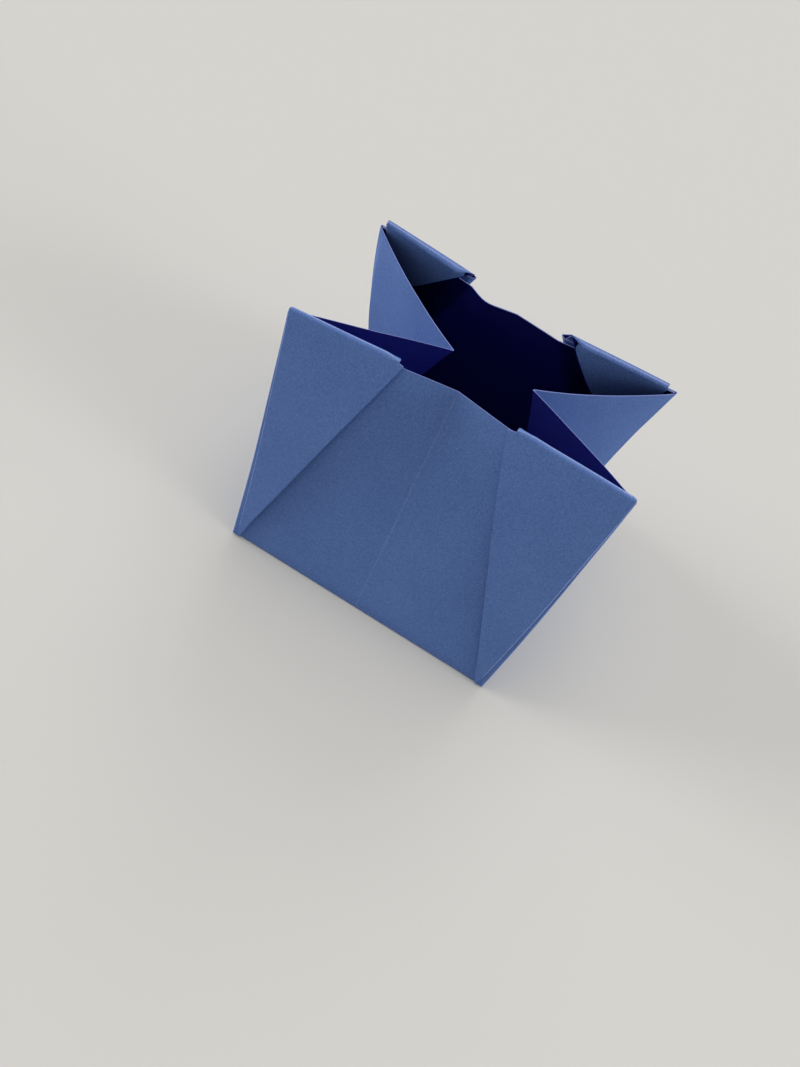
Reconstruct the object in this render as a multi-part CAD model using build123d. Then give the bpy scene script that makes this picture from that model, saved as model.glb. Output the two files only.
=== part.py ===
"""Origami box: one square sheet of paper, folded up round a square base.

The long front and back walls lean in over the base. The middles of the two short sides are
pinched in as gussets. At each base corner the spare paper is a flap that lies on the outside
of the long wall, is folded back on itself and rolls over the rim to the inside.
The origin is the middle of the base, on the surface that the box stands on.
"""
import os
from math import atan, cos, radians, sin, sqrt, tan

from build123d import *

# The flat square, the base in its middle and the thickness of one layer, in millimetres
sheet_side = 150.0
base_side = 55.0
paper = 0.14

# The space between two layers that lie on each other
air = 0.06

# How far the long rims lean in over the base, stand out past its ends and dip in at their middles
front_lean = 15.0
back_lean = 13.6
rim_flare = 1.5
rim_dip = 2.2

# How far the middles of the short rims are pinched in, and how far each half of such a rim bows
left_pinch = 22.2
right_pinch = 18.3
gusset_bow = 0.9

# A flap's width where it bunches up at the base, and how far its folded edge stays off the corner
flap_foot = 1.4
edge_inset = 1.2

# How far a flap's roll stands over the raw edge at the corner, and how much more at its free end
crest_gap = 0.3
crest_lift = 0.9

# How much the pinched middles and the rolled tips are rounded off
tip_blunt = 0.3

# What follows from those sizes and from the flat sheet
wall = (sheet_side - base_side) / 2
half_base = base_side / 2
pitch = paper + air
flare_angle = atan(rim_flare / wall)
corner_edge = wall / cos(flare_angle)
inset_angle = atan(edge_inset / corner_edge)
spare_angle = radians(45)
flap_angle = (spare_angle + inset_angle) / 2
flap_width = corner_edge / (1 / tan(flap_angle) - tan(flare_angle))
crest_slope = tan(flare_angle) + crest_lift / flap_width
sheet_corner = (wall / cos(spare_angle) * cos(inset_angle), wall / cos(spare_angle) * sin(inset_angle))
under_rise = crest_gap
over_rise = crest_gap + pitch

# Layers at a corner, counted outwards from the wall, and the same layers inside the rim
NEAR_UNDER, NEAR_OVER, FAR_UNDER, FAR_OVER = 1, 2, 3, 4
TIP_UNDER, TIP_OVER = -1, -2

# Flat strips in half a gusset, and the share of a layer by which rolled paper runs into the next
FLANK_STEPS = 5
LAP = 1 / 3

# The twist, in cubic millimetres, under which a panel counts as flat
FLAT = 1e-7


def patch(a, b, c, d):
    """Flat face through four corners, or two triangles where the paper is twisted between them."""
    twist = (b - a).cross(c - a).dot(d - a)
    if abs(twist) < FLAT:
        return [Face(Wire.make_polygon([a, b, c, d]))]
    return [Face(Wire.make_polygon([a, b, c])), Face(Wire.make_polygon([a, c, d]))]


def mitre(before, at, after, crease):
    """Half the paper's thickness, square to a crease and shared by the two panels that meet there."""
    first = (at - before).cross(crease).normalized()
    second = (after - at).cross(crease).normalized()
    return (first + second) * (paper / (1 + first.dot(second)) / 2)


def folded_ring(creases):
    """Paper that runs once round the box, through creases given by the ends of their middle layer."""
    outer, inner = [], []
    count = len(creases)
    for i, (low, high) in enumerate(creases):
        before, after = creases[i - 1], creases[(i + 1) % count]
        crease = (high - low).normalized()
        at_low = mitre(before[0], low, after[0], crease)
        at_high = mitre(before[1], high, after[1], crease)
        for side, sign in ((outer, 1), (inner, -1)):
            foot = low + at_low * sign
            side.append((foot - crease * (foot.Z / crease.Z), high + at_high * sign))
    faces = []
    for i in range(count):
        j = (i + 1) % count
        (a, b), (c, d) = outer[i], outer[j]
        (e, f), (g, h) = inner[i], inner[j]
        faces += patch(a, c, d, b) + patch(e, g, h, f) + patch(a, c, g, e) + patch(b, d, h, f)
    return Solid(Shell(faces))


def plate(corners):
    """Flat piece of paper with these corners in its middle layer."""
    return extrude(Face(Wire.make_polygon(corners)), amount=paper / 2, both=True)


def raw_edge(across):
    """Point on the raw edge of a flap's near layers, given along the corner edge and across the wall."""
    return corner_edge + across * tan(flare_angle), across


def crest(across, rise):
    """Point on the line where the flap's far layers roll over, a rise above the raw edge at the corner."""
    return corner_edge + across * crest_slope + rise, across


def roll_end(free_across, rise):
    """Where the far layers' raw edge, from the flap's free edge to the sheet's corner, meets the roll."""
    tip_along, tip_across = sheet_corner
    free_along = raw_edge(free_across)[0]
    steepness = (tip_along - free_along) / (free_across - tip_across)
    step = (crest(free_across, rise)[0] - free_along) / (steepness + crest_slope)
    return crest(free_across - step, rise)


def rolled_corner(rise):
    """The sheet's corner, mirrored over the roll to the inside of the wall."""
    along, across = sheet_corner
    start = crest(across, rise)[0]
    turn = 2 * atan(crest_slope)
    return start - (along - start) * cos(turn), across + (along - start) * sin(turn)


class Corner:
    """One base corner, with places measured along its edge, across the long wall and out by layers."""

    def __init__(self, x_side, y_side, lean, pinch):
        self.x_side = x_side
        self.y_side = y_side
        self.foot = Vector(x_side * half_base, y_side * half_base, 0)
        self.apex = Vector(x_side * (half_base - pinch), 0, sqrt(wall**2 - pinch**2))
        self.along = Vector(x_side * rim_flare, -y_side * lean, sqrt(wall**2 - lean**2)).normalized()
        middle = Vector(-x_side, 0, 0)
        self.across = (middle - self.along * middle.dot(self.along)).normalized()
        self.out = self.across.cross(self.along) * (x_side * y_side)

    def at(self, along, across, layer):
        return self.foot + self.along * along + self.across * across + self.out * (layer * pitch)

    def fold(self, foot_across, layer, head):
        """Crease from the bunched foot of the flap up to a point given along and across the wall."""
        return self.at(0, foot_across, layer), self.at(*head, layer)

    def creases(self):
        """Creases from the long wall, through the folded flap, round the corner edge and along the gusset."""
        wall_rim = (corner_edge - flap_width * tan(flare_angle), flap_width)
        horn = raw_edge(0)
        wrap = (corner_edge, -NEAR_OVER * pitch)
        over_free = raw_edge(flap_width)
        under_free = raw_edge(flap_width - pitch)
        under_foot = flap_foot - pitch
        rows = [
            self.fold(flap_foot, 0, wall_rim),
            self.fold(0, 0, horn),
            self.fold(0, NEAR_UNDER, horn),
            self.fold(flap_foot, NEAR_UNDER, over_free),
            self.fold(flap_foot, FAR_OVER, over_free),
            self.fold(flap_foot - pitch, FAR_OVER, roll_end(flap_width, over_rise)),
            self.fold(pitch, FAR_OVER, crest(edge_inset, over_rise)),
            self.fold(pitch, FAR_UNDER, crest(edge_inset, under_rise)),
            self.fold(under_foot - pitch, FAR_UNDER, roll_end(flap_width - pitch, under_rise)),
            self.fold(under_foot, FAR_UNDER, under_free),
            self.fold(under_foot, NEAR_OVER, under_free),
            self.fold(-NEAR_OVER * pitch, NEAR_OVER, wrap),
            self.fold(-NEAR_OVER * pitch, 0, wrap),
        ]
        return rows + self.flank(*rows[-1])

    def flank(self, low, high):
        """Gusset half: creases that fan out from the base corner to a bowed rim."""
        low_end = Vector(self.x_side * half_base, self.y_side * (half_base - flap_foot), 0)
        high_end = self.apex + (high - self.apex).normalized() * tip_blunt
        chord = high_end - high
        bow = Vector(-chord.Y, chord.X, 0).normalized() * (gusset_bow * self.x_side * self.y_side)
        rows = []
        for i in range(1, FLANK_STEPS + 1):
            share = i / FLANK_STEPS
            swell = bow * (4 * share * (1 - share))
            rows.append((low + (low_end - low) * share, high + chord * share + swell))
        return rows

    def rolled_tip(self):
        """The two layers of the sheet's corner, over the rim and down the inside of the wall."""
        lap = LAP * paper / pitch
        pieces = []
        for rise, free_across, outside, inside in (
            (under_rise, flap_width - pitch, FAR_UNDER, TIP_UNDER),
            (over_rise, flap_width, FAR_OVER, TIP_OVER),
        ):
            free_end = roll_end(free_across, rise)
            corner_end = crest(edge_inset, rise)
            tip = rolled_corner(rise)
            roll = [(free_end, outside + lap), (corner_end, outside + lap)]
            roll += [(corner_end, inside - lap), (free_end, inside - lap)]
            pieces.append(plate([self.at(*place, layer) for place, layer in roll]))
            pieces.append(plate([self.at(*place, inside) for place in (free_end, corner_end, tip)]))
        hem_top = crest(edge_inset, -tip_blunt)
        hem_foot = (tip[0] + tip_blunt, tip[1])
        hem = [(hem_top, TIP_UNDER), (hem_foot, TIP_UNDER), (hem_foot, TIP_OVER), (hem_top, TIP_OVER)]
        pieces.append(plate([self.at(*place, layer) for place, layer in hem]))
        return pieces


def middle_crease(y_side, lean):
    """Crease up the middle of a long wall, pushed in a little at the rim."""
    reach = lean + rim_dip
    foot = Vector(0, y_side * half_base, 0)
    return foot, foot + Vector(0, -y_side * reach, sqrt(wall**2 - reach**2))


def gusset_crease(x_side, pinch):
    """Crease up the middle of a short side, from the base edge to the pinched apex."""
    foot = Vector(x_side * half_base, 0, 0)
    return foot, foot + Vector(-x_side * pinch, 0, sqrt(wall**2 - pinch**2))


front_right = Corner(1, -1, front_lean, right_pinch)
back_right = Corner(1, 1, back_lean, right_pinch)
back_left = Corner(-1, 1, back_lean, left_pinch)
front_left = Corner(-1, -1, front_lean, left_pinch)

# Once round the box, starting at the middle of the front wall
around = [middle_crease(-1, front_lean)] + front_right.creases()
around += [gusset_crease(1, right_pinch)] + back_right.creases()[::-1]
around += [middle_crease(1, back_lean)] + back_left.creases()
around += [gusset_crease(-1, left_pinch)] + front_left.creases()[::-1]
walls = folded_ring(around)

# The base and the rolled tips, joined to the walls as one sheet
floor = Pos(0, 0, paper / 2) * Box(base_side, base_side, paper)
tips = []
for corner in (front_right, back_right, back_left, front_left):
    tips += corner.rolled_tip()
folded_sheet = walls.fuse(floor, *tips)

os.makedirs("parts", exist_ok=True)
export_step(folded_sheet, "parts/folded_sheet.step")
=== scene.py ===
"""Origami box of blue paper, folded by hand from one square sheet and standing open on a pale table.

Sizes are in millimetres, and MM turns them into Blender's metres.
"""
from collections import namedtuple
from math import cos, pi, radians, sin, sqrt

import bpy
from mathutils import Matrix, Vector


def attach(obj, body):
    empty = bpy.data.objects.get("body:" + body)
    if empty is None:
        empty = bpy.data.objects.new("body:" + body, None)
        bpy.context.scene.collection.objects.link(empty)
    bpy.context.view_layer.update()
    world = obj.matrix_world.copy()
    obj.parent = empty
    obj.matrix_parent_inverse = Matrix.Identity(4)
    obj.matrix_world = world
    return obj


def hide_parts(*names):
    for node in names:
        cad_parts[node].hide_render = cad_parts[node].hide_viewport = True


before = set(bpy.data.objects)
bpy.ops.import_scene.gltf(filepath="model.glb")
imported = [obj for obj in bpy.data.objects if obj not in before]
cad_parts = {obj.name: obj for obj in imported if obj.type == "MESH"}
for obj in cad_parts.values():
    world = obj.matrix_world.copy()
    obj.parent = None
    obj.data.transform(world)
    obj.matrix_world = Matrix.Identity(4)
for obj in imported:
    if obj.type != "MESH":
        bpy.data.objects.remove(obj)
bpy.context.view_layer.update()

# Corner flaps
# At each corner of the base the spare paper is folded into a four-layer flap on the outside of the
# long wall. Its two far layers roll over the rim, so the sheet's own corner lies inside the wall.

# The square sheet, the base folded in its middle, the paper and the gap between two layers, how far the
# front wall leans in over the base, and how far the base's back edge lies to the right of its front edge
sheet_side = 150.0
base_side = 55.0
paper = 0.14
layer_gap = 0.03
front_lean = 15.0
back_shift = -1.2
wall = (sheet_side - base_side) / 2
half_base = base_side / 2
pitch = paper + layer_gap

# The flap's bunched foot: how far across the wall its free edge, its hem and the paper that wraps the
# corner begin, how much higher each layer begins than the one under it, and how tightly they are pressed
flap_foot = 1.35
hem_foot = 0.95
wrap_foot = -paper
foot_lift = 0.15
foot_squeeze = paper / pitch

# How far the flap springs off the wall half-way up, how far its inner fold stays behind its free edge,
# and how far past that edge the wall is dented where it was pressed in beside the flap
flap_spring = 0.9
undercut = 0.8
dent_reach = 3.5

# The flap's layers counted outwards from the wall, its roll's radius in layers, and how flat the roll is
# pressed
NEAR_UNDER, NEAR_OVER, FAR_UNDER, FAR_OVER = 1, 2, 3, 4
ROLL_RADIUS = 3
ROLL_FLATNESS = 0.6

# A fold without rounding, one without bow, how far the hem is painted pale, as rubbed dye and as a painted
# highlight along its rounded edge, and how far the dye is rubbed off the wrapped edge
SHARP = 0.0
STRAIGHT = Vector((0, 0, 0))
hem_wear_and_highlight = 0.8
wrap_wear = 0.25


class Corner:
    """One base corner. Places on it are millimetres along its edge, across the wall and out in layers."""

    def __init__(self, x_side, y_side, lean, flare, crest_corner, crest_free, free_edge, edge_bow,
                 wall_dent, flap_dent=0.0, beside_dent=0.0, puff=0.0, rim_drop=0.0, wall_drop=0.0):
        self.x_side = x_side
        self.y_side = y_side
        self.free_edge = free_edge
        self.edge_bow = edge_bow
        self.wall_dent = wall_dent
        self.flap_dent = flap_dent
        self.beside_dent = beside_dent
        self.puff = puff
        self.wall_drop = wall_drop
        self.foot = Vector((x_side * half_base, y_side * half_base, paper / 2))
        if y_side > 0:
            self.foot.x += back_shift
        edge = Vector((x_side * flare, -y_side * lean, sqrt(wall**2 - lean**2)))
        self.length = edge.length
        self.rim = edge.length - rim_drop
        self.rim_slope = flare / wall
        self.along = edge.normalized()
        middle = Vector((-x_side, 0, 0))
        self.across = (middle - self.along * middle.dot(self.along)).normalized()
        self.out = self.across.cross(self.along) * (x_side * y_side)
        self.roll_corner = ROLL_RADIUS * pitch
        self.roll_free = self.roll_corner + (wall_dent - flap_dent) / 2
        self.axis_corner = (crest_corner[0] - self.roll_corner * ROLL_FLATNESS, crest_corner[1])
        self.axis_free = (crest_free[0] - self.roll_free * ROLL_FLATNESS, crest_free[1])

    def at(self, along, across, layer):
        """A place on the wall or on a layer of the flap."""
        return self.foot + self.along * along + self.across * across + self.out * (layer * pitch)

    def fold(self, foot_across, layer, head, dent=0.0):
        """A fold of the flap, from its bunched foot near the table to a place on the wall."""
        foot = self.at(0, foot_across, layer * foot_squeeze)
        foot -= self.along * ((foot.z - paper / 2) / self.along.z - foot_lift * layer)
        return foot, self.at(*head, layer) - self.out * dent


# How the hands left each corner: the lean and flare of its edge, the two ends of the roll's crest and the
# top of the flap's free edge, each along and across, how far the edge bows outwards, how far the wall and
# the flap are dented at the free edge and the wall beside it, how far the gusset puffs out, and how far
# the raw rim drops at the corner and beside the flap
front_left = Corner(-1, -1, lean=front_lean, flare=1.4, crest_corner=(47.5, -0.1), crest_free=(48.3, 19.4),
                    free_edge=(47.6, 20.4), edge_bow=-0.4, wall_dent=0.5, rim_drop=0.8)
front_right = Corner(1, -1, lean=front_lean, flare=3.3, crest_corner=(48.2, -0.25), crest_free=(47.4, 19.85),
                     free_edge=(46.4, 21.3), edge_bow=0.3, wall_dent=0.5)
back_left = Corner(-1, 1, lean=13.1, flare=-0.4, crest_corner=(49.3, 0.8), crest_free=(47.8, 18.1),
                   free_edge=(46.9, 18.6), edge_bow=0.5, wall_dent=0.7, beside_dent=2.2, puff=1.9,
                   wall_drop=1.5)
back_right = Corner(1, 1, lean=14.1, flare=2.7, crest_corner=(48.3, 1.35), crest_free=(48.2, 19.5),
                    free_edge=(46.7, 20.8), edge_bow=-0.4, wall_dent=1.9, flap_dent=1.5, wall_drop=0.2)


class Fold:
    """One fold line of the middle layer: its foot and head, its rounding, and what it belongs to."""

    def __init__(self, line, rounding, on_base=False, roll_of=None, wear_and_highlight=0.0, bow=STRAIGHT):
        self.foot, self.head = line
        self.rounding = rounding
        self.on_base = on_base
        self.roll_of = roll_of
        self.wear_and_highlight = wear_and_highlight
        self.bow = bow

    def at(self, height):
        """The fold's place at a share of its height. It bows most half-way up."""
        return self.foot.lerp(self.head, height) + self.bow * (4 * height * (1 - height))


def flap_folds(corner):
    """Folds of one flap, from the wall's own layer through the flap and back to the corner edge."""
    free_along, free_across = corner.free_edge
    wall_rim = (corner.length - free_across * corner.rim_slope - corner.wall_drop, free_across)
    near_horn = (corner.rim - pitch * corner.rim_slope, pitch)
    horn = (corner.rim, 0)
    wrap = (corner.rim, -NEAR_OVER * pitch)
    tucked = (free_along, free_across - undercut)
    under_free = (free_along, free_across - undercut - pitch)
    axis_under = (corner.axis_free[0], corner.axis_free[1] - pitch)
    dent = corner.flap_dent
    tight = pitch / 2
    edge = -corner.across * corner.edge_bow
    loose = edge - corner.across * (corner.puff / 2)
    spring = corner.out * flap_spring
    dented = []
    if corner.beside_dent:
        beside = (wall_rim[0], free_across + dent_reach)
        line = corner.fold(flap_foot + dent_reach, 0, beside, corner.beside_dent)
        dented = [Fold(line, dent_reach / 2, on_base=True)]
    return dented + [
        Fold(corner.fold(flap_foot, 0, wall_rim, corner.wall_dent), SHARP, on_base=True),
        Fold(corner.fold(pitch, 0, near_horn), SHARP, on_base=True, bow=edge),
        Fold(corner.fold(0, 0, horn), tight, bow=edge),
        Fold(corner.fold(0, NEAR_UNDER, horn), tight, bow=edge),
        Fold(corner.fold(flap_foot, NEAR_UNDER, tucked, dent), 3 * tight, bow=spring),
        Fold(corner.fold(flap_foot, FAR_OVER, corner.free_edge, dent), tight, bow=spring),
        Fold(corner.fold(flap_foot - 3 * tight, FAR_OVER, corner.axis_free, dent), SHARP,
             roll_of=corner, bow=spring),
        # The hem is painted pale: dye rubbed off its fold, and a painted highlight along its rounded edge
        Fold(corner.fold(hem_foot, FAR_OVER, corner.axis_corner), tight,
             roll_of=corner, wear_and_highlight=hem_wear_and_highlight, bow=edge),
        Fold(corner.fold(hem_foot, FAR_UNDER, corner.axis_corner), tight,
             roll_of=corner, wear_and_highlight=hem_wear_and_highlight, bow=edge),
        Fold(corner.fold(flap_foot - 2 * pitch, FAR_UNDER, axis_under, dent), SHARP,
             roll_of=corner, bow=spring),
        Fold(corner.fold(flap_foot - pitch, FAR_UNDER, under_free, dent), tight, bow=spring),
        Fold(corner.fold(flap_foot - pitch, NEAR_OVER, under_free, dent), tight, bow=spring),
        Fold(corner.fold(wrap_foot, NEAR_OVER, wrap), pitch, wear_and_highlight=wrap_wear, bow=loose),
        Fold(corner.fold(wrap_foot, 0, wrap), pitch, wear_and_highlight=wrap_wear, bow=loose),
    ]


# Pinched gussets
# The middles of the short sides are pushed in between the long walls, which leaves a flat triangle on
# the base edge and, on both sides of it, half a gusset that bows a little between its folds.

# How far each side's middle is pinched in and shifted to the back, how far the rims of the back and front
# halves bow, and how blunt the pinched tip is
left_pinch, left_shift = 22.2, 0.0
right_pinch, right_shift = 18.3, -0.7
back_bow, front_bow = 0.9, 0.2
apex_blunt = 0.25
pinch_rounding = 2 * pitch
FLANK_STRIPS = 14


def pinched_tip(x_side, pinch, shift):
    """The top of a short side's middle, pushed in by the pinch and a little to one side."""
    height = sqrt(wall**2 - pinch**2 - shift**2)
    return Vector((x_side * (half_base - pinch), shift, height + paper / 2))


def side_middle(x_side):
    """The middle of the base's short edge, on the table."""
    return Vector((x_side * half_base + back_shift / 2, 0, paper / 2))


def gusset_half(corner, tip, bow):
    """Lines that fan from the base corner to the bowed rim between the corner and the pinched tip."""
    low, high = corner.fold(wrap_foot, 0, (corner.rim, -NEAR_OVER * pitch))
    low_end = corner.foot + (side_middle(corner.x_side) - corner.foot).normalized() * flap_foot
    high_end = tip + (high - tip).normalized() * apex_blunt
    chord = high_end - high
    outwards = Vector((-chord.y, chord.x, 0)).normalized() * (corner.x_side * corner.y_side)
    edge = -corner.across * corner.edge_bow
    lines = []
    for strip in range(1, FLANK_STRIPS + 1):
        share = strip / FLANK_STRIPS
        foot = low.lerp(low_end, share)
        head = high + chord * share + outwards * (4 * bow * share * (1 - share))
        swell = (edge + outwards * corner.puff) * (1 - share) ** 2
        rounding = pinch_rounding if strip == FLANK_STRIPS else SHARP
        lines.append(Fold((foot, head), rounding, on_base=True, bow=swell))
    return lines


left_tip = pinched_tip(-1, left_pinch, left_shift)
right_tip = pinched_tip(1, right_pinch, right_shift)
left_fold = Fold((side_middle(-1), left_tip), pinch_rounding, on_base=True)
right_fold = Fold((side_middle(1), right_tip), pinch_rounding, on_base=True)

# Long walls
# The front and back walls are a single layer of paper that leans in over the base. Each is pressed
# inwards along the crease up its middle, where a little of the dye has worn off.

# How far the back wall leans in, how much further the creases reach, and how far their dye has worn
front_dip = 2.8
back_lean, back_dip = 13.6, 1.7
crease_wear = 0.2


def middle_fold(y_side, reach, foot_shift):
    """The crease up the middle of a long wall, whose head reaches this far in over the base."""
    foot = Vector((foot_shift, y_side * half_base, paper / 2))
    head = foot + Vector((-foot_shift, -y_side * reach, sqrt(wall**2 - reach**2)))
    return Fold((foot, head), pitch, on_base=True, wear_and_highlight=crease_wear)


around = [middle_fold(-1, front_lean + front_dip, 0.0)]
around += flap_folds(front_right) + gusset_half(front_right, right_tip, front_bow)
around += [right_fold] + (flap_folds(back_right) + gusset_half(back_right, right_tip, back_bow))[::-1]
around += [middle_fold(1, back_lean + back_dip, back_shift)]
around += flap_folds(back_left) + gusset_half(back_left, left_tip, back_bow)
around += [left_fold] + (flap_folds(front_left) + gusset_half(front_left, left_tip, front_bow))[::-1]

# Middle layer of the sheet
# The folds are joined by panels into one open surface: a ring of walls and flaps, the base under it and
# the rolled corners. Each fold is rounded, because paper bends round its own thickness.

# Rows of points up the walls, steps round a fold and rings of the base as shares of its size
ROWS = 24
FOLD_STEPS = 4
BASE_RINGS = (0.02, 0.25, 0.5, 0.75, 0.92)

# The widest strip of a panel, the narrow one that keeps it flat beside a fold, and how far the fold round
# the base is rounded and worn
widest_strip = 3.0
shoulder = 0.35
base_fold = 0.35
base_wear = 0.2


class Station:
    """One line of points up the sheet, on a fold or part of the way over the panel after it."""

    def __init__(self, index, on_fold, share):
        self.index = index
        self.on_fold = on_fold
        self.share = share
        after = around[(index + 1) % len(around)]
        here = around[index]
        self.on_base = here.on_base and (on_fold or after.on_base)
        self.roll_of = here.roll_of if on_fold or after.roll_of else None
        self.wear_and_highlight = here.wear_and_highlight * sin(pi * share) if on_fold else 0.0


def stations_round():
    """Stations once round the box: several on each rounded fold, and strips over the wider panels."""
    found = []
    for index, fold in enumerate(around):
        after = around[(index + 1) % len(around)]
        steps = FOLD_STEPS if fold.rounding else 0
        found += [Station(index, True, step / steps if steps else 0.5) for step in range(steps + 1)]
        width = (after.head - fold.head).length
        if width > 2 * shoulder + fold.rounding + after.rounding:
            count = max(1, round(width / widest_strip))
            between = [strip / count for strip in range(1, count)]
            shares = [shoulder / width] + between + [1 - shoulder / width]
            found += [Station(index, False, share) for share in shares]
    return found


def corner_cut(level, index, towards):
    """Where a fold's rounding begins on the panel before or after it, at most half-way over the panel."""
    here = level[index]
    other = level[(index + towards) % len(level)]
    width = (other - here).length
    return here.lerp(other, min(around[index].rounding / width, 0.5)) if width > 0 else here


def on_section(level, station):
    """The station's point on a closed section through the folds."""
    here = level[station.index]
    start = corner_cut(level, station.index, 1)
    if not station.on_fold:
        end = corner_cut(level, (station.index + 1) % len(level), -1)
        return start.lerp(end, station.share)
    before = corner_cut(level, station.index, -1)
    return before.lerp(here, station.share).lerp(here.lerp(start, station.share), station.share)


stations = stations_round()
points = []
faces = []
wear_and_highlight = []


def add_row(row, wear_and_highlight_values):
    """Adds a row of points and gives back their numbers."""
    first = len(points)
    points.extend(row)
    wear_and_highlight.extend(wear_and_highlight_values)
    return list(range(first, len(points)))


def join_rows(low, high, closed):
    """Joins two rows of points by faces whose blue side is outwards."""
    last = len(low) if closed else len(low) - 1
    for here in range(last):
        after = (here + 1) % len(low)
        faces.append((low[here], low[after], high[after], high[here]))


# The ring of walls and flaps, which begins above the base's rounded fold wherever it stands on it
rows = []
fold_wear_and_highlight = [station.wear_and_highlight for station in stations]
base_lift = base_fold / wall
for step in range(ROWS + 1):
    hanging = [fold.at(step / ROWS) for fold in around]
    standing = [fold.at(base_lift + (1 - base_lift) * step / ROWS) for fold in around]
    row = [on_section(standing if station.on_base else hanging, station) for station in stations]
    rows.append(add_row(row, fold_wear_and_highlight))
for low, high in zip(rows, rows[1:]):
    join_rows(low, high, closed=True)

# The base, in rings from a small face in its middle out to the rounded fold that turns up into the ring
on_base = [number for number, station in zip(rows[0], stations) if station.on_base]
lifted = [points[number] for number in on_base]
base_line = [fold.foot for fold in around]
feet = [on_section(base_line, station) for station in stations if station.on_base]
inset = 1 - base_fold / half_base
inner = [Vector((foot.x * inset, foot.y * inset, paper / 2)) for foot in feet]
base_bend = [start.lerp(foot, 0.5).lerp(foot.lerp(end, 0.5), 0.5)
             for start, foot, end in zip(inner, feet, lifted)]
base_rows = []
for scale in BASE_RINGS:
    ring = [Vector((point.x * scale, point.y * scale, point.z)) for point in inner]
    base_rows.append(add_row(ring, [0.0] * len(ring)))
base_rows.append(add_row(inner, [0.0] * len(inner)))
base_rows.append(add_row(base_bend, [base_wear] * len(base_bend)))
base_rows.append(on_base)
for low, high in zip(base_rows, base_rows[1:]):
    join_rows(low, high, closed=True)
faces.append(tuple(reversed(base_rows[0])))

# Rolled corners of the sheet
# Beyond the wall's rim the flap's two far layers turn over in a small roll and hang down the inside, with
# nothing but the roll to hold them. The crest of the roll is painted pale, most where it is tight: partly
# dye rubbed off, partly a painted highlight where the crest catches the light.

# Steps over the roll and down the tip, how far the sheet's corner lies from the base's, the most of a
# strip that is rolled, and how much of the pale crest line, rubbed dye and painted highlight, fades with
# each step from the crest
ROLL_STEPS = 12
TIP_ROWS = 10
sheet_corner = sqrt(2) * wall
most_rolled = 0.9
crest_fade = 0.7

# How far the hanging tip keeps from the gusset beside it, and then, for each millimetre that it drops, how
# far it slants away from the gusset, stands off the wall, and does so more with each millimetre of dent
inside_gap = 0.9
tip_slant = 0.05
tip_opening = 0.02
loose_opening = 0.27

Strip = namedtuple("Strip", "along across out free radius length")


def roll_strips(corner, numbers):
    """The strip of paper that goes on above each of these points: its start, its roll and its length."""
    strips = []
    first, last = corner.axis_corner[1], corner.axis_free[1]
    free_along, free_across = corner.free_edge
    for number in numbers:
        place = points[number] - corner.foot
        along, across, out = place.dot(corner.along), place.dot(corner.across), place.dot(corner.out)
        free = min(1, max(0, (across - first) / (last - first)))
        depth = FAR_OVER * pitch - corner.flap_dent * free - out
        radius = corner.roll_corner + (corner.roll_free - corner.roll_corner) * free - depth
        reach = min(1, (free_across - depth - across) / (free_across - depth - first))
        length = free_along + (sheet_corner - free_along) * reach - along
        strips.append(Strip(along, across, out, free, radius, length))
    return strips


def on_strip(corner, strip, step):
    """The strip's point at a step of its way over the rim and down the inside of the wall."""
    half_turn = pi * strip.radius * (1 + ROLL_FLATNESS) / 2
    rolled = min(half_turn, most_rolled * strip.length)
    if step <= ROLL_STEPS:
        run = rolled * step / ROLL_STEPS
    else:
        run = rolled + (strip.length - rolled) * (step - ROLL_STEPS) / TIP_ROWS
    turn = pi * min(1, run / half_turn)
    drop = max(0, run - half_turn)
    clear = max(0, inside_gap - corner.axis_corner[1]) * max(0, -cos(turn))
    aside = (1 - strip.free) * (clear + tip_slant * drop)
    opening = strip.free * (tip_opening + loose_opening * corner.wall_dent)
    place = corner.foot + corner.along * (strip.along + strip.radius * ROLL_FLATNESS * sin(turn) - drop)
    place += corner.across * (strip.across + aside)
    place += corner.out * (strip.out - strip.radius * (1 - cos(turn)) - drop * opening)
    return place


for corner in (front_right, back_right, back_left, front_left):
    low = [number for number, station in zip(rows[-1], stations) if station.roll_of is corner]
    strips = roll_strips(corner, low)
    for step in range(1, ROLL_STEPS + TIP_ROWS + 1):
        # The crest is painted pale: dye rubbed off where the roll is tight, and a painted highlight on its
        # top
        crest = max(0, 1 - crest_fade * abs(step - ROLL_STEPS / 2))
        wear_and_highlight_values = [crest * corner.roll_corner / strip.radius for strip in strips]
        high = add_row([on_strip(corner, strip, step) for strip in strips], wear_and_highlight_values)
        join_rows(low, high, closed=False)
        low = high

MM = 0.001
mesh = bpy.data.meshes.new("folded_paper")
mesh.from_pydata([point * MM for point in points], [], faces)
# Per point, how pale the paper is painted: rubbed dye, and on roll crests and hems a painted highlight
mesh.attributes.new("wear_and_highlight", "FLOAT", "POINT").data.foreach_set("value", wear_and_highlight)
sheet = bpy.data.objects.new("folded_paper", mesh)
bpy.context.scene.collection.objects.link(sheet)

# Paper
# Thin craft paper, dyed blue on one face and printed dark navy on the other, with a pale core that shows
# at the cut edges and wherever a fold has rubbed the dye off. On the crests of the rolls and on the hems
# that pale colour also stands for a painted highlight.

# Fibres and uneven clouds in the dye, the fibres' share of the mottle and their height. Real fibres are
# finer, and are drawn as coarse as they need to show.
fibre_size = 0.25
cloud_size = 9.0
fibre_share = 0.85
fibre_relief = 0.02

# The mottle at which the dye is thin and full, and how many thicknesses of paper red, green and blue light
# spread in the printed face
dye_thin, dye_full = 0.35, 0.65
light_reach = (3.8, 3.8, 4.2)


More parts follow.
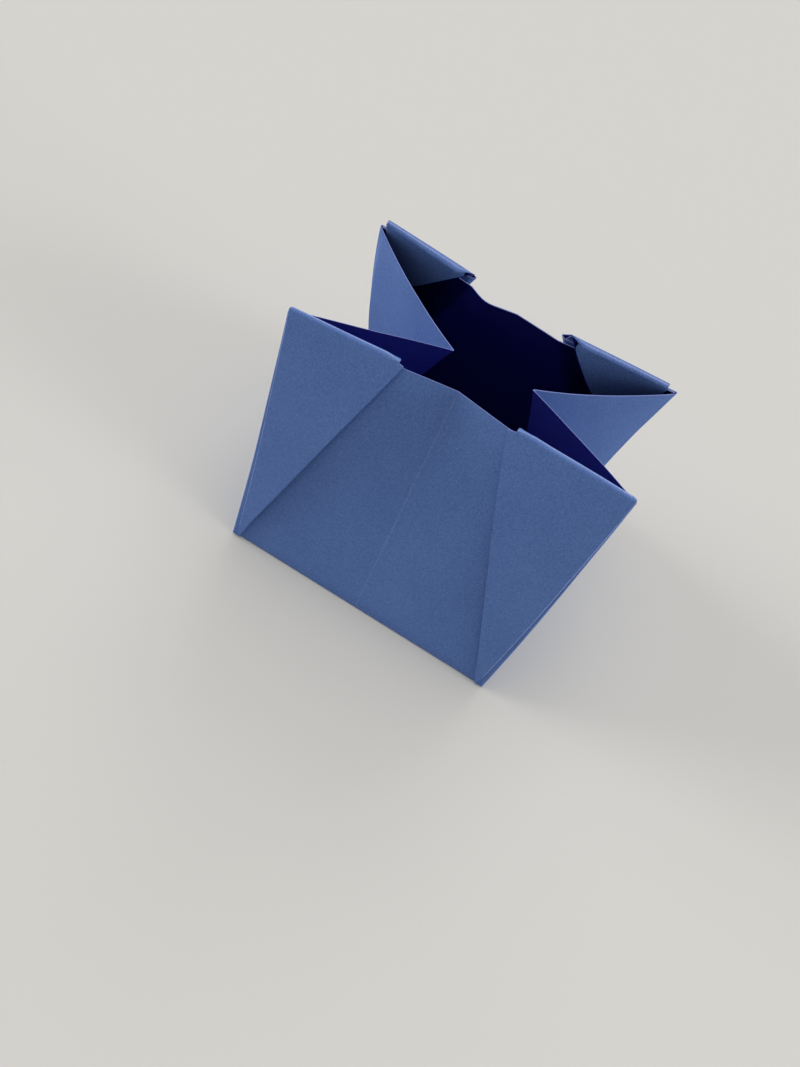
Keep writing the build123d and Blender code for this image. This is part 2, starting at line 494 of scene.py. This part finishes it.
def linear(code):
    """Linear colour of an sRGB hex value."""
    channels = [int(code[i:i + 2], 16) / 255 for i in (0, 2, 4)]
    return [c / 12.92 if c <= 0.04045 else ((c + 0.055) / 1.055) ** 2.4 for c in channels] + [1.0]


def add_node(tree, kind, inputs=None, **settings):
    """Adds a node with its settings, and sets or links its inputs."""
    node = tree.nodes.new(kind)
    for name, value in settings.items():
        setattr(node, name, value)
    for key, value in (inputs or {}).items():
        if isinstance(value, bpy.types.NodeSocket):
            tree.links.new(value, node.inputs[key])
        else:
            node.inputs[key].default_value = value
    return node


def per_metre(size):
    """Texture scale that gives a pattern this size in millimetres."""
    return 1 / (size * MM)


def paper_material(name, face, thin, wear_and_highlight_colour, shine, glow):
    """Uncoated paper: matt, with fibres that mottle the dye and roughen the face, and pale folds, partly a
    painted highlight.
    """
    material = bpy.data.materials.new(name)
    material.use_nodes = True
    tree = material.node_tree
    tree.nodes.clear()
    place = add_node(tree, "ShaderNodeTexCoord").outputs["Object"]
    fibre = add_node(tree, "ShaderNodeTexNoise", {
        "Vector": place, "Scale": per_metre(fibre_size), "Detail": 2.0}).outputs[0]
    cloud = add_node(tree, "ShaderNodeTexNoise", {
        "Vector": place, "Scale": per_metre(cloud_size), "Detail": 2.0}).outputs[0]
    speckle = add_node(tree, "ShaderNodeMath", {0: fibre, 1: fibre_share}, operation="MULTIPLY")
    mottle = add_node(tree, "ShaderNodeMath", {0: cloud, 1: 1 - fibre_share, 2: speckle.outputs[0]},
                      operation="MULTIPLY_ADD")
    dye = add_node(tree, "ShaderNodeValToRGB", {"Fac": mottle.outputs[0]})
    for stop, position, code in zip(dye.color_ramp.elements, (dye_thin, dye_full), (thin, face)):
        stop.position = position
        stop.color = linear(code)
    # Pale marks from the attribute: rubbed dye, and on roll crests and hems also a painted highlight
    wear_and_highlight_values = add_node(tree, "ShaderNodeAttribute", attribute_name="wear_and_highlight")
    patchy = add_node(tree, "ShaderNodeMath", {0: wear_and_highlight_values.outputs["Fac"], 1: fibre}, operation="MULTIPLY")
    # A Mix node takes its two colours at inputs 6 and 7 and gives the mixed one at output 2
    colour = add_node(tree, "ShaderNodeMix", {
        0: patchy.outputs[0], 6: dye.outputs[0], 7: linear(wear_and_highlight_colour)}, data_type="RGBA")
    bump = add_node(tree, "ShaderNodeBump", {
        "Height": fibre, "Distance": fibre_relief * MM, "Strength": 1.0})
    shader = add_node(tree, "ShaderNodeBsdfPrincipled", {
        "Base Color": colour.outputs[2], "Roughness": 0.72, "IOR": 1.45,
        "Specular IOR Level": shine, "Normal": bump.outputs[0],
        "Subsurface Weight": glow, "Subsurface Scale": paper * MM, "Subsurface Radius": light_reach})
    add_node(tree, "ShaderNodeOutputMaterial", {"Surface": shader.outputs[0]})
    return material


# Dyed paper looks even and soft, with a pale line along each rubbed fold that on roll crests and hems is
# also a painted highlight
blue_face = paper_material("blue_dyed_paper", face="5d7ab2", thin="4b669f", wear_and_highlight_colour="b4bbe8",
                           shine=0.15, glow=0.0)
# The printed face looks almost black where the light doesn't come through the paper from behind
navy_face = paper_material("navy_printed_paper", face="0a0e46", thin="080b3e", wear_and_highlight_colour="0a0e46",
                           shine=0.04, glow=1.0)
# The core shows as a thin pale line along the raw edges
cut_edge = paper_material("pale_paper_core", face="7f8ac6", thin="707cb9", wear_and_highlight_colour="a9b2e0",
                          shine=0.15, glow=0.0)

# Thickness of the paper
# The middle layer is thickened to both sides; the outside is the blue face, the inside the navy one and
# the walls between them the cut edge. A slight waviness, which grows from the table up to the rim, is
# what hands leave in flat paper.

# Size of the waves, the distance below which points are one, and the angle above which a fold looks sharp
waviness = 0.7
wave_size = 22.0
weld = 0.001
crease_angle = 35
thicken = bpy.data.node_groups.new("thicken_paper", "GeometryNodeTree")
sockets = {}
for name, kind in (("Sheet", "Geometry"), ("Thickness", "Float"), ("Waviness", "Float"),
                   ("Wave scale", "Float"), ("Blue", "Material"), ("Navy", "Material"),
                   ("Edge", "Material")):
    socket_type = "NodeSocket" + kind
    sockets[name] = thicken.interface.new_socket(name, in_out="INPUT", socket_type=socket_type)
thicken.interface.new_socket("Paper", in_out="OUTPUT", socket_type="NodeSocketGeometry")
given = add_node(thicken, "NodeGroupInput").outputs

# Waviness, as an offset that grows with the height above the table
spot = add_node(thicken, "GeometryNodeInputPosition").outputs[0]
noise = add_node(thicken, "ShaderNodeTexNoise", {
    "Vector": spot, "Scale": given["Wave scale"], "Detail": 1.0})
centred = add_node(thicken, "ShaderNodeVectorMath", {
    0: noise.outputs["Color"], 1: (0.5, 0.5, 0.5)}, operation="SUBTRACT")
height = add_node(thicken, "ShaderNodeSeparateXYZ", {0: spot}).outputs["Z"]
rise = add_node(thicken, "ShaderNodeMath", {0: height, 1: given["Waviness"]}, operation="MULTIPLY")
wave = add_node(thicken, "ShaderNodeVectorMath", {
    0: centred.outputs[0], "Scale": rise.outputs[0]}, operation="SCALE")
joined = add_node(thicken, "GeometryNodeMergeByDistance", {
    "Geometry": given["Sheet"], "Distance": weld * MM})
wavy = add_node(thicken, "GeometryNodeSetPosition", {
    "Geometry": joined.outputs[0], "Offset": wave.outputs[0]})

# The navy face lies half a thickness inwards, and the blue face and the cut edges grow out of it
normal = add_node(thicken, "GeometryNodeInputNormal").outputs[0]
half = add_node(thicken, "ShaderNodeMath", {0: given["Thickness"], 1: -0.5}, operation="MULTIPLY")
inwards = add_node(thicken, "ShaderNodeVectorMath", {
    0: normal, "Scale": half.outputs[0]}, operation="SCALE")
inside = add_node(thicken, "GeometryNodeSetPosition", {
    "Geometry": wavy.outputs[0], "Offset": inwards.outputs[0]})
grown = add_node(thicken, "GeometryNodeExtrudeMesh", {
    "Mesh": inside.outputs[0], "Individual": False, "Offset Scale": given["Thickness"]}, mode="FACES")
turned = add_node(thicken, "GeometryNodeFlipFaces", {"Mesh": inside.outputs[0]})
both = add_node(thicken, "GeometryNodeJoinGeometry", {0: turned.outputs[0]})
thicken.links.new(grown.outputs[0], both.inputs[0])
closed = add_node(thicken, "GeometryNodeMergeByDistance", {
    "Geometry": both.outputs[0], "Distance": weld * MM})
coated = add_node(thicken, "GeometryNodeRealizeInstances", {"Geometry": closed.outputs[0]})
coated = add_node(thicken, "GeometryNodeSetMaterial", {
    "Geometry": coated.outputs[0], "Material": given["Navy"]})
for chosen, colour in (("Top", "Blue"), ("Side", "Edge")):
    coated = add_node(thicken, "GeometryNodeSetMaterial", {
        "Geometry": coated.outputs[0], "Selection": grown.outputs[chosen], "Material": given[colour]})
add_node(thicken, "NodeGroupOutput", {0: coated.outputs[0]})

mesh.materials.append(navy_face)
thickness = sheet.modifiers.new("paper", "NODES")
thickness.node_group = thicken
for name, value in (("Thickness", paper * MM), ("Waviness", waviness / wall),
                    ("Wave scale", per_metre(wave_size)), ("Blue", blue_face), ("Navy", navy_face),
                    ("Edge", cut_edge)):
    thickness[sockets[name].identifier] = value
finished = bpy.data.meshes.new_from_object(sheet.evaluated_get(bpy.context.evaluated_depsgraph_get()))
sheet.modifiers.clear()
sheet.data = finished
for polygon in finished.polygons:
    polygon.use_smooth = True
finished.set_sharp_from_angle(angle=radians(crease_angle))
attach(sheet, "root")
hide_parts("folded_sheet")

# Table top
# The box stands on a pale, matt table top, drawn as one large flat face. It lies a hair below the paper,
# so that the two never lie in one plane.
table_reach = 3000.0
table_drop = 0.05
table_corners = [(x * table_reach * MM, y * table_reach * MM, -table_drop * MM)
                 for x, y in ((-1, -1), (1, -1), (1, 1), (-1, 1))]
floor_mesh = bpy.data.meshes.new("table_top")
floor_mesh.from_pydata(table_corners, [], [(0, 1, 2, 3)])
table = bpy.data.objects.new("table_top", floor_mesh)
bpy.context.scene.collection.objects.link(table)
table_material = bpy.data.materials.new("pale_table")
table_material.use_nodes = True
table_shader = table_material.node_tree.nodes["Principled BSDF"]
table_shader.inputs["Base Color"].default_value = linear("cbc9c4")
table_shader.inputs["Specular IOR Level"].default_value = 0.0
floor_mesh.materials.append(table_material)

# Light
# Soft white light from above, from both sides and from behind, as in a bright room with the viewer in
# front. The camera and the shiny faces see a plain pale backdrop in place of the room.
world = bpy.data.worlds.new("room")
bpy.context.scene.world = world
world.use_nodes = True
sky = world.node_tree
sky.nodes.clear()
room = add_node(sky, "ShaderNodeBackground", {"Color": linear("f4f4f6"), "Strength": 0.36})
backdrop = add_node(sky, "ShaderNodeBackground", {"Color": linear("d9d8d4"), "Strength": 1.0})
ray = add_node(sky, "ShaderNodeLightPath").outputs
seen = add_node(sky, "ShaderNodeMath", {
    0: ray["Is Camera Ray"], 1: ray["Is Glossy Ray"]}, operation="MAXIMUM")
shown = add_node(sky, "ShaderNodeMixShader", {
    0: seen.outputs[0], 1: room.outputs[0], 2: backdrop.outputs[0]})
add_node(sky, "ShaderNodeOutputWorld", {"Surface": shown.outputs[0]})


def soft_sun(name, place, spread, strength):
    """Even light from a far-off panel in this direction, which looks this many degrees wide."""
    sun = bpy.data.lights.new(name, "SUN")
    sun.angle = radians(spread)
    sun.energy = strength
    holder = bpy.data.objects.new(name, sun)
    holder.location = place
    holder.rotation_euler = (-Vector(place)).to_track_quat("-Z", "Y").to_euler()
    bpy.context.scene.collection.objects.link(holder)


soft_sun("ceiling", place=(0.0, 0.35, 1.0), spread=70, strength=1.3)
soft_sun("left_window", place=(-0.8, -0.05, 0.16), spread=35, strength=2.6)
soft_sun("right_window", place=(0.8, 0.0, 0.16), spread=35, strength=1.95)
soft_sun("far_window", place=(0.0, 0.8, 0.3), spread=50, strength=1.0)

# Camera
# Held over the front of the box, a little to the right and tilted, as the photograph was taken. Its place
# and its turn are fitted to the corners of the base and of the rim.
camera_place = Vector((18.2, -93.8, 126.2)) * MM
view_right = Vector((0.8499, 0.4871, 0.2011))
view_down = Vector((0.5116, -0.6711, -0.5365))
view_back = view_right.cross(-view_down)
focal_pixels, image_height, sensor_height = 760.0, 1067.0, 24.0
nearest_seen = 5.0
lens = bpy.data.cameras.new("camera")
lens.sensor_fit = "VERTICAL"
lens.sensor_height = sensor_height
lens.lens = sensor_height * focal_pixels / image_height
lens.clip_start = nearest_seen * MM
camera = bpy.data.objects.new("camera", lens)
axes = Matrix((view_right, -view_down, view_back)).transposed().to_4x4()
camera.matrix_world = Matrix.Translation(camera_place) @ axes
bpy.context.scene.collection.objects.link(camera)
bpy.context.scene.camera = camera
bpy.context.scene.view_settings.view_transform = "Standard"
